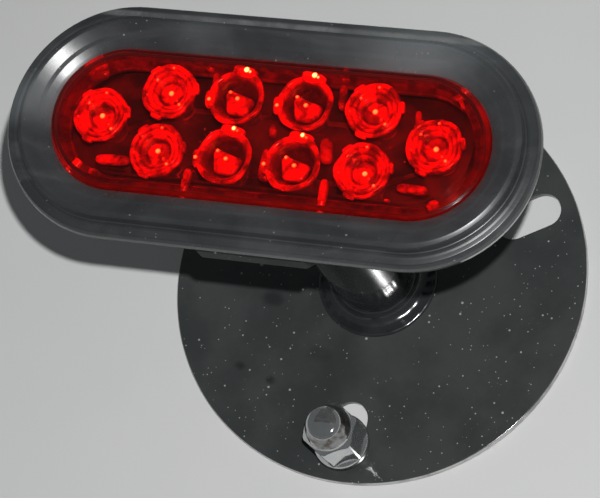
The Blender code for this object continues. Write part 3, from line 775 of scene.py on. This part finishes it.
def board(mask, copper, solder):
    """Circuit board with raised traces from LED to LED and small solder joints."""
    section = fillet([(8.0 * MM, BOARD_BACK), (BOARD_RADIUS, BOARD_BACK), (BOARD_RADIUS, BOARD_TOP),
                      (8.0 * MM, BOARD_TOP)], 0.15 * MM, 2)
    item = Form().sweep(section, OVAL_CORE).piece("board", head=True)
    dress(item, mask, "board", "circuit_board")
    centres = [placed(f"led_{number}")[2] for number in range(1, OPTIC_COUNT + 1)]
    traces = Form()
    chains = ([8, 0, 1, 2, 3], [9, 7, 6, 5, 4])
    for chain in chains:
        for first, second in zip(chain, chain[1:]):
            a, b = Vector(centres[first]), Vector(centres[second])
            way = b - a
            middle = (a + b) / 2
            traces.block((middle.x, middle.y, BOARD_TOP + 0.04 * MM),
                         (way.length, 1.8 * MM, 0.07 * MM), math.atan2(way.y, way.x), 0.02 * MM, 1)
    dress(traces.piece("board_traces", head=True), copper, "board")
    joints = Form()
    spots = [(-28.0, 4.4), (-27.2, 2.4), (-26.0, 0.6), (-27.4, -1.2), (-25.6, 3.4), (-28.6, -0.4),
             (46.6, 1.2), (47.6, -0.6), (45.6, -0.4), (48.4, 1.6), (24.6, -0.6), (0.6, 0.4)]
    for x, y in spots:
        size = random.uniform(0.35, 0.6) * MM
        dome = [(size, BOARD_TOP), (size * 0.9, BOARD_TOP + size * 0.35), (size * 0.5, BOARD_TOP + size * 0.7),
                (size * 0.1, BOARD_TOP + size * 0.85)]
        joints.sweep(dome, steps=6, centre=(x * MM, y * MM))
    dress(joints.piece("solder_joints", head=True), solder, "terminal")


def emitter_outline(size, steps=5):
    """A four-cornered patch with one long corner towards the upper left, all corners rounded."""
    corners = [(-1.05, 0.88), (-0.68, -0.72), (0.62, -0.78), (0.95, 0.28)]
    return fillet([(x * size, y * size) for x, y in corners], 0.28 * size, steps, closed=True)


def lobed(seed):
    """Wobble and light for a moulded optic: slightly squared, with brighter and darker sides."""
    turn = 0.6 * math.sin(seed * 2.4)

    def wobble(angle, share):
        if share < 0.12:
            return 0.0, 0.0
        fade = max(0.0, 1.0 - share * 1.3)
        ripple = uneven_round(angle, 2.0, seed * 3.1)
        return fade * (0.3 * math.cos(4 * (angle - turn)) + 0.7 * ripple) * MM, 0.0

    def light(angle, radius, glow):
        patch = uneven_round(angle, 1.6, seed * 1.7 + radius * 300.0)
        return glow * (0.92 + 0.6 * patch) if glow < 1.3 else glow

    return wobble, light


def glint_pips(form, pips, x, y, stray):
    """The glint pips of one optic, each a little off its place; their glow is a painted glint."""
    for px, py, z, radius, glow in pips:
        jog = random.uniform(-stray, stray) * MM
        form.bead(x + px * MM + jog, y + py * MM - jog, z * MM, radius * MM, glow)


def ringed_optic(form, x, y, seed):
    """Stepped rings falling from a raised rim to a bulging centre, with lugs, and pips that carry painted glints.
    """
    section = [
        (4.0, -15.1, 0.05), (9.3, 0.6, 0.1), (9.8, 1.5, 0.2), (9.8, 2.2, 0.45), (9.5, 2.8, 0.8),
        (8.8, 2.9, 1.0), (8.3, 2.2, 0.62), (7.9, 1.8, 0.55), (7.4, 2.1, 1.0), (6.9, 1.9, 1.0),
        (6.4, 1.2, 0.58), (6.0, 0.9, 0.6), (5.6, 1.0, 1.05), (5.1, 0.7, 0.85), (4.7, -0.1, 0.42),
        (4.3, -0.8, 0.25), (4.0, -0.9, 0.3), (3.5, -0.75, 0.8), (2.6, -0.65, 1.05), (1.4, -0.55, 1.15),
        (0.1, -0.5, 1.2),
    ]
    wobble, light = lobed(seed)

    # Painted light and shade: the groove ring glows more towards the lower right, less on the upper left
    def painted_shading(angle, radius, glow):
        if 3.9 * MM < radius < 4.9 * MM:
            glow += 0.5 * max(0.0, -math.cos(angle - math.radians(130.0)))
        return light(angle, radius, glow)

    form.sweep(lit(smooth_path(section)), steps=20, centre=(x, y), wobble=wobble, light=painted_shading)
    for degrees in (12.0, 132.0, 252.0):
        angle = math.radians(degrees)
        spot = (x + 9.5 * MM * math.cos(angle), y + 9.5 * MM * math.sin(angle), 1.9 * MM)
        form.lump(spot, mm(2.4, 4.4, 1.6), angle, 0.95)
    glint_pips(form, RINGED_GLINT_PIPS, x, y, 0.4)


def dished_optic(form, x, y, seed):
    """A wide bright rim round a dark dish, with a four-cornered emitter standing in the middle."""
    section = [
        (4.0, -15.1, 0.05), (9.3, 0.8, 0.2), (9.8, 1.6, 0.45), (9.9, 2.3, 0.85), (9.5, 2.9, 1.0),
        (8.9, 2.9, 0.95), (8.3, 2.5, 0.75), (7.8, 1.8, 0.4), (7.2, 0.6, 0.12), (6.4, -1.0, 0.06),
        (5.6, -2.6, 0.03), (3.0, -3.2, 0.02), (0.1, -3.2, 0.02),
    ]
    wobble, light = lobed(seed)

    # Painted highlight and shade: the glow is raised towards the top and the left and lowered elsewhere
    def painted_shading(angle, radius, glow):
        lobe = max(0.0, math.cos(angle - math.radians(80.0))) + max(0.0, math.cos(angle - math.radians(195.0)))
        return light(angle, radius, glow) * min(1.1, 0.62 + 0.5 * lobe)

    form.sweep(lit(smooth_path(section)), steps=20, centre=(x, y), wobble=wobble, light=painted_shading)
    rows, glows = [], []
    emitter = [(5.9, -3.1, 0.1), (5.7, -2.1, 0.3), (5.3, -1.5, 0.6), (4.6, -1.15, 0.9), (2.6, -0.95, 1.05),
               (0.2, -0.85, 1.15)]
    for size, z, glow in emitter:
        rows.append([(x + px, y + py - 0.6 * MM, z * MM) for px, py in emitter_outline(size * MM)])
        glows.append([glow] * len(rows[-1]))
    form.loft(rows, glows=glows)
    # Two glowing lumps on the rim, at the top and at the left: painted highlights given a solid shape
    form.lump((x + 1.4 * MM, y + 9.3 * MM, 2.5 * MM), mm(9.0, 4.0, 1.8), math.radians(-10.0), 1.0)
    form.lump((x - 9.2 * MM, y - 1.5 * MM, 2.4 * MM), mm(3.6, 6.4, 1.8), math.radians(8.0), 1.0)
    glint_pips(form, DISHED_GLINT_PIPS, x, y, 0.3)


def optics(red, chip):
    """An optic over each LED, and the LED's package with its dome."""
    for number in range(1, OPTIC_COUNT + 1):
        x, y = placed(f"led_{number}")[2]
        form = Form()
        if number in MIDDLE_OPTICS:
            dished_optic(form, x, y, number)
        else:
            ringed_optic(form, x, y, number)
        item = form.piece(f"optic_glass_{number}", head=True, sharp=70.0)
        dress(item, red, "optic", f"optic_{number}")
        led = Form().block((x, y, LED_BASE + 0.45 * MM), mm(3.4, 3.4, 0.9), 0.0, 0.15 * MM, 2, 0.1)
        dome = [(1.25, 0.85, 0.5), (1.2, 1.1, 0.8), (0.9, 1.35, 1.0), (0.4, 1.48, 1.0), (0.05, 1.5, 1.0)]
        led.sweep(lit(dome, LED_BASE), steps=10, centre=(x, y))
        dress(led.piece(f"led_chip_{number}", head=True), chip, "led", f"led_{number}")


def reflection_bars(red):
    """Glowing bars and tabs that lie between the optics, level with their rings: painted reflections given a solid
    shape.
    """
    form = Form()
    z = -2.6 * MM
    bars = [
        # centre x, centre y, length and width in millimetres, turn in degrees, glow
        (-54.0, -14.2, 12.6, 3.8, 3.0, 0.58), (53.8, -14.0, 10.8, 3.4, -1.0, 0.54),
        (-25.8, -19.6, 3.0, 9.8, 0.0, 0.58), (23.4, -19.0, 3.2, 11.0, 3.0, 0.58),
        (1.4, -10.6, 4.6, 11.8, 0.0, 0.6), (21.6, -3.6, 4.6, 9.4, 12.0, 0.42),
        (64.4, 20.2, 6.6, 2.6, 24.0, 0.6), (65.6, 17.6, 2.4, 4.4, 24.0, 0.5),
        (-66.4, 17.6, 8.0, 7.4, 30.0, 0.45), (-67.0, -17.4, 3.4, 5.4, -30.0, 0.7),
        (62.0, -19.2, 4.6, 3.2, 32.0, 0.7), (-60.0, -19.4, 3.4, 2.0, 12.0, 0.5),
        (-25.8, 22.6, 2.6, 2.8, 0.0, 0.6), (23.4, 23.0, 2.8, 2.4, 0.0, 0.6),
        (46.0, -18.8, 2.0, 2.0, 0.0, 0.7), (-22.6, 17.0, 2.4, 7.8, 4.0, 0.36),
        (23.6, 16.0, 2.8, 9.0, 6.0, 0.36), (51.4, 10.8, 2.2, 5.8, 8.0, 0.42), (1.4, 1.6, 2.6, 4.8, 0.0, 0.5),
    ]
    for x, y, length, width, turn, glow in bars:
        form.lump((x * MM, y * MM, z), (length * MM, width * MM, 2.2 * MM), math.radians(turn), glow)
    # Two pale painted glints on the bar below the middle
    form.bead(2.0 * MM, -12.4 * MM, z + MM, 1.1 * MM, 2.9)
    form.bead(1.6 * MM, -9.0 * MM, z + MM, 0.9 * MM, 2.6)
    dress(form.piece("reflection_bars", head=True, sharp=70.0), red, "optic")


def lens_skirt(red):
    """Red ledge that runs round inside the lens, and the thin welded seam under its flange, both with a painted
    glow.
    """
    ledge = [(23.7, 0.3, 0.12), (23.5, -3.7, 0.14), (22.4, -4.0, 0.11), (20.9, -4.2, 0.1), (20.4, -4.2, 0.2),
             (20.2, -4.5, 0.14), (20.1, -6.0, 0.05), (20.6, -6.2, 0.02), (23.7, -5.0, 0.05)]
    form = Form().sweep(lit(ledge), OVAL_CORE, ring=True)
    seam = [(24.9, -3.46, 0.2), (27.6, -3.46, 0.16), (27.6, -3.62, 0.1), (24.9, -3.62, 0.1)]
    form.sweep(lit(seam), OVAL_CORE, ring=True)
    dress(form.piece("lens_skirt", head=True, sharp=50.0), red, "optic")


def small_parts(ceramic, tin, epoxy):
    for number in (1, 2, 3):
        low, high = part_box(f"resistor_{number}")
        centre = (low + high) / 2
        size = high - low
        body = Form().block(centre, (size.x * 0.7, size.y, size.z), 0.0, 0.06 * MM, 2)
        dress(body.piece(f"chip_resistor_{number}"), ceramic, "ceramic", f"resistor_{number}")
        ends = Form()
        for side in (-1, 1):
            spot = centre + Vector((side * size.x * 0.42, 0.0, 0.0))
            ends.block(spot, (size.x * 0.16, size.y, size.z * 1.04), 0.0, 0.05 * MM, 2)
        dress(ends.piece(f"resistor_ends_{number}"), tin, "terminal")
    low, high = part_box("diode")
    centre, size = (low + high) / 2, high - low
    body = Form().block(centre, (size.x, size.y * 0.9, size.z * 0.95), 0.0, 0.25 * MM, 3)
    body.block(centre + Vector((-size.x * 0.38, 0.0, size.z * 0.47)),
               (0.35 * MM, size.y * 0.8, 0.06 * MM), 0.0, 0.02 * MM, 1)
    dress(body.piece("diode_case"), epoxy, "epoxy", "diode")


def pins(brass):
    for number in (1, 2, 3):
        low, high, centre = placed(f"terminal_pin_{number}")
        r = (high.x - low.x) / 2
        section = fillet([(0.3 * r, low.z), (0.62 * r, low.z + 0.2 * MM), (r, low.z + 1.4 * MM),
                          (r, high.z - 1.6 * MM), (r, high.z)], 0.6 * MM)
        item = Form().sweep(section, 0.0, SMALL, centre=centre).piece(f"pin_{number}")
        dress(item, brass, "terminal", f"terminal_pin_{number}")


# ---- nut and stud

HEX_TURN = math.radians(27.0)
# Brownish painted reflection in bands on the cap's flank and on the bulge: bottom, top, share
NUT_REFLECTION_BANDS = ((PLATE_TOP + 27.2 * MM, PLATE_TOP + 33.6 * MM, 0.95),
            (PLATE_TOP + 4.6 * MM, PLATE_TOP + 7.2 * MM, 0.6))


def acorn_nut(chrome):
    """Closed chrome lug nut: cone seat, round bulge, hexagon with a chamfered top and a tapered cap."""
    low, high, (x, y) = placed("lug_nut")
    base = PLATE_TOP
    across = 19.05 * MM
    cap = profile([
        (10.72, 5.0), (10.72, 24.0, 0.7), (9.3, 25.5, 0.15), (8.95, 25.9, 0.3), (8.75, 27.2, 3.0),
        (8.0, 30.4, 6.0), (6.6, 33.7, 2.4), (5.5, 34.75, 1.6), (3.2, 35.25, 3.0),
        (0.15, (high.z - base) / MM),
    ], 0.4, 6, lift=base)
    item = Form().sweep(cap, centre=(x, y)).piece("acorn_nut")
    corner = across / math.sqrt(3.0)
    corners = [(corner * math.cos(a), corner * math.sin(a)) for a in
               (HEX_TURN + math.radians(60.0 * k) for k in range(6))]
    ring = fillet(corners, 0.8 * MM, 6, closed=True)
    hexagon = Form().loft([[(x + px, y + py, z) for px, py in ring] for z in (base + 4.0 * MM, high.z + MM)])
    shape_with(item, hexagon.piece("hexagon"), "INTERSECT")
    bulge = profile([
        (6.3, (low.z - base) / MM), (8.2, 3.0, 0.3), (10.9, 4.0, 0.9), (10.9, 7.4, 1.4), (9.0, 9.6),
    ], 0.4, 5, lift=base)
    shape_with(item, Form().sweep(bulge, centre=(x, y)).piece("bulge"), "UNION")
    bore = Form().sweep([(5.7 * MM, low.z - 2 * MM), (5.7 * MM, base + 22.0 * MM)], 0.0, SMALL, centre=(x, y))
    shape_with(item, bore.piece("nut_bore"), "DIFFERENCE")
    item.data.shade_smooth()
    item.data.set_sharp_from_angle(angle=math.radians(28.0))
    return dress(item, chrome, "chrome", "lug_nut", body="nut")


def threaded_stud(steel):
    """Wheel stud with a rolled thread and a chamfered end."""
    low, high, (x, y) = placed("wheel_stud")
    radius = (high.x - low.x) / 2
    pitch, depth, around, rows_per_turn = 1.27 * MM, 0.6 * MM, 32, 8
    rows = []
    count = int((high.z - low.z) / pitch * rows_per_turn)
    for k in range(count + 1):
        z = low.z + (high.z - low.z) * k / count
        row = []
        for i in range(around):
            angle = 2 * math.pi * i / around
            phase = (z / pitch - angle / (2 * math.pi)) % 1.0
            groove = depth * abs(2 * phase - 1)
            end = max(0.0, 0.9 * MM - (high.z - z))
            r = radius - max(groove, end)
            row.append((x + r * math.cos(angle), y + r * math.sin(angle), z))
        rows.append(row)
    item = Form().loft(rows).piece("threaded_stud", sharp=30.0)
    return dress(item, steel, "stud_steel", "wheel_stud", body="stud")


# ---- studio


def aimed(item, place, target, roll=0.0):
    """Puts a camera or light at a place, looking at a target, rolled about its own view axis."""
    way = Vector(target) - Vector(place)
    turn = way.to_track_quat("-Z", "Y").to_matrix().to_4x4() @ Matrix.Rotation(roll, 4, "Z")
    item.matrix_world = Matrix.Translation(place) @ turn


def area_light(name, place, target, size, power, colour=(1.0, 1.0, 1.0)):
    data = bpy.data.lights.new(name, "AREA")
    data.shape = "DISK"
    data.size = size
    data.energy = power
    data.color = colour
    item = add(name, data)
    aimed(item, place, target)
    return item


def studio():
    """Camera above and to the front right, a small key beside it, soft fills and a pale floor."""
    target = Vector(mm(-7.9, -14.7, 80.0))
    azimuth, elevation, distance = math.radians(48.47), math.radians(65.53), 1.0293
    way = Vector((math.sin(azimuth) * math.cos(elevation), -math.cos(azimuth) * math.cos(elevation),
                  math.sin(elevation)))
    place = target + way * distance
    data = bpy.data.cameras.new("camera")
    data.sensor_width = 36.0
    data.lens = 169.0
    data.clip_start, data.clip_end = 0.05, 20.0
    camera = add("camera", data)
    aimed(camera, place, target, math.radians(-39.53))
    bpy.context.scene.camera = camera

    up = camera.matrix_world.to_3x3() @ Vector((0.0, 1.0, 0.0))
    right = camera.matrix_world.to_3x3() @ Vector((1.0, 0.0, 0.0))
    key_up, key_right = 0.058, 0.018
    area_light("key", place + up * key_up + right * key_right, target, size=0.013, power=10.8)
    for name, spot, power, colour in (("soft_left", (-1.3, -0.7, 0.9), 0.35, (0.94, 0.97, 1.0)),
                                      ("soft_back", (0.3, 1.5, 1.0), 0.45, (1.0, 0.98, 0.95))):
        area_light(name, spot, target, 0.9, power, colour).visible_glossy = False  # no second highlight

    world = bpy.data.worlds.new("studio_air")
    world.use_nodes = True
    nodes, links = world.node_tree.nodes, world.node_tree.links
    coords = nodes.new("ShaderNodeTexCoord")
    split = nodes.new("ShaderNodeSeparateXYZ")
    ramp = nodes.new("ShaderNodeValToRGB")
    links.new(coords.outputs["Generated"], split.inputs[0])
    links.new(split.outputs["Z"], ramp.inputs[0])
    horizon, high_air = (0.0, (0.125, 0.128, 0.13, 1.0)), (0.7, (0.072, 0.078, 0.081, 1.0))
    for element, (height, colour) in zip(ramp.color_ramp.elements, (horizon, high_air)):
        element.position, element.color = height, colour
    links.new(ramp.outputs[0], nodes["Background"].inputs[0])
    nodes["Background"].inputs[1].default_value = 1.0
    bpy.context.scene.world = world

    form = Form()
    size, thickness = 3.0, 0.01
    form.loft([[(-size, -size, z), (size, -size, z), (size, size, z), (-size, size, z)]
               for z in (-thickness - 0.1 * MM, -0.1 * MM)])
    floor = form.piece("floor")
    finish = Finish("pale_floor")
    tone = finish.blend(finish.noise(6.0, 4.0), (0.54, 0.55, 0.55), (0.6, 0.6, 0.59))
    rough = finish.patchy(30.0, 4.0, 0.55, 0.7)
    floor.data.materials.append(finish.use(tone, rough))

    view = bpy.context.scene.view_settings
    view.view_transform = "Standard"
    view.look = "None"


def build():
    studio()
    coat = powder_coat("charcoal_coat", DARK_PATCHES)
    # The strap and panel get a darker, duller copy of the plate's coat; the darkening is painted shade
    painted_shade_coat = powder_coat("strap_coat", tint=0.5, rough_low=0.55, shine=0.15)
    gloss = gloss_paint("black_gloss")
    plate(coat)
    tube(gloss)
    weld_bead("plate_weld", gloss, radius=24.0 * MM, height=6.0 * MM, up=1.0, ripples=26, hollow=4.0)
    weld_bead("head_weld", gloss, radius=18.9 * MM, height=3.4 * MM, up=-1.0, ripples=22, hollow=1.6)
    strap(painted_shade_coat)
    panel(painted_shade_coat)
    grommet(rubber())
    lens(red_lens())
    # The tray's reddish cast is painted red light from the lens
    housing(moulded_plastic("housing_plastic", (0.03, 0.01, 0.01), (0.045, 0.016, 0.015)))
    tin = metal("tinned_joints", (0.55, 0.55, 0.53), (0.75, 0.74, 0.72), 0.18, 0.35)
    copper = metal("masked_copper", (0.2, 0.09, 0.06), (0.3, 0.15, 0.1), 0.3, 0.45)
    board(solder_mask(), copper, tin)
    glass = optic_red()
    optics(glass, led_body())
    reflection_bars(glass)
    lens_skirt(glass)
    small_parts(moulded_plastic("resistor_ceramic", (0.05, 0.05, 0.055), (0.09, 0.09, 0.095), 0.3, 0.4), tin,
                moulded_plastic("diode_epoxy", (0.015, 0.015, 0.016), (0.03, 0.03, 0.03), 0.35, 0.5))
    pins(metal("brass_pins", (0.6, 0.42, 0.18), (0.78, 0.6, 0.3), 0.22, 0.38, draw=0.1))
    acorn_nut(metal("chrome_plate", (0.52, 0.54, 0.55), (0.6, 0.61, 0.61), 0.035, 0.11, 900.0, 0.02, pure=0.9,
                    haze_and_reflection=NUT_REFLECTION_BANDS))
    threaded_stud(metal("stud_steel", (0.3, 0.3, 0.3), (0.46, 0.45, 0.44), 0.3, 0.5))


build()
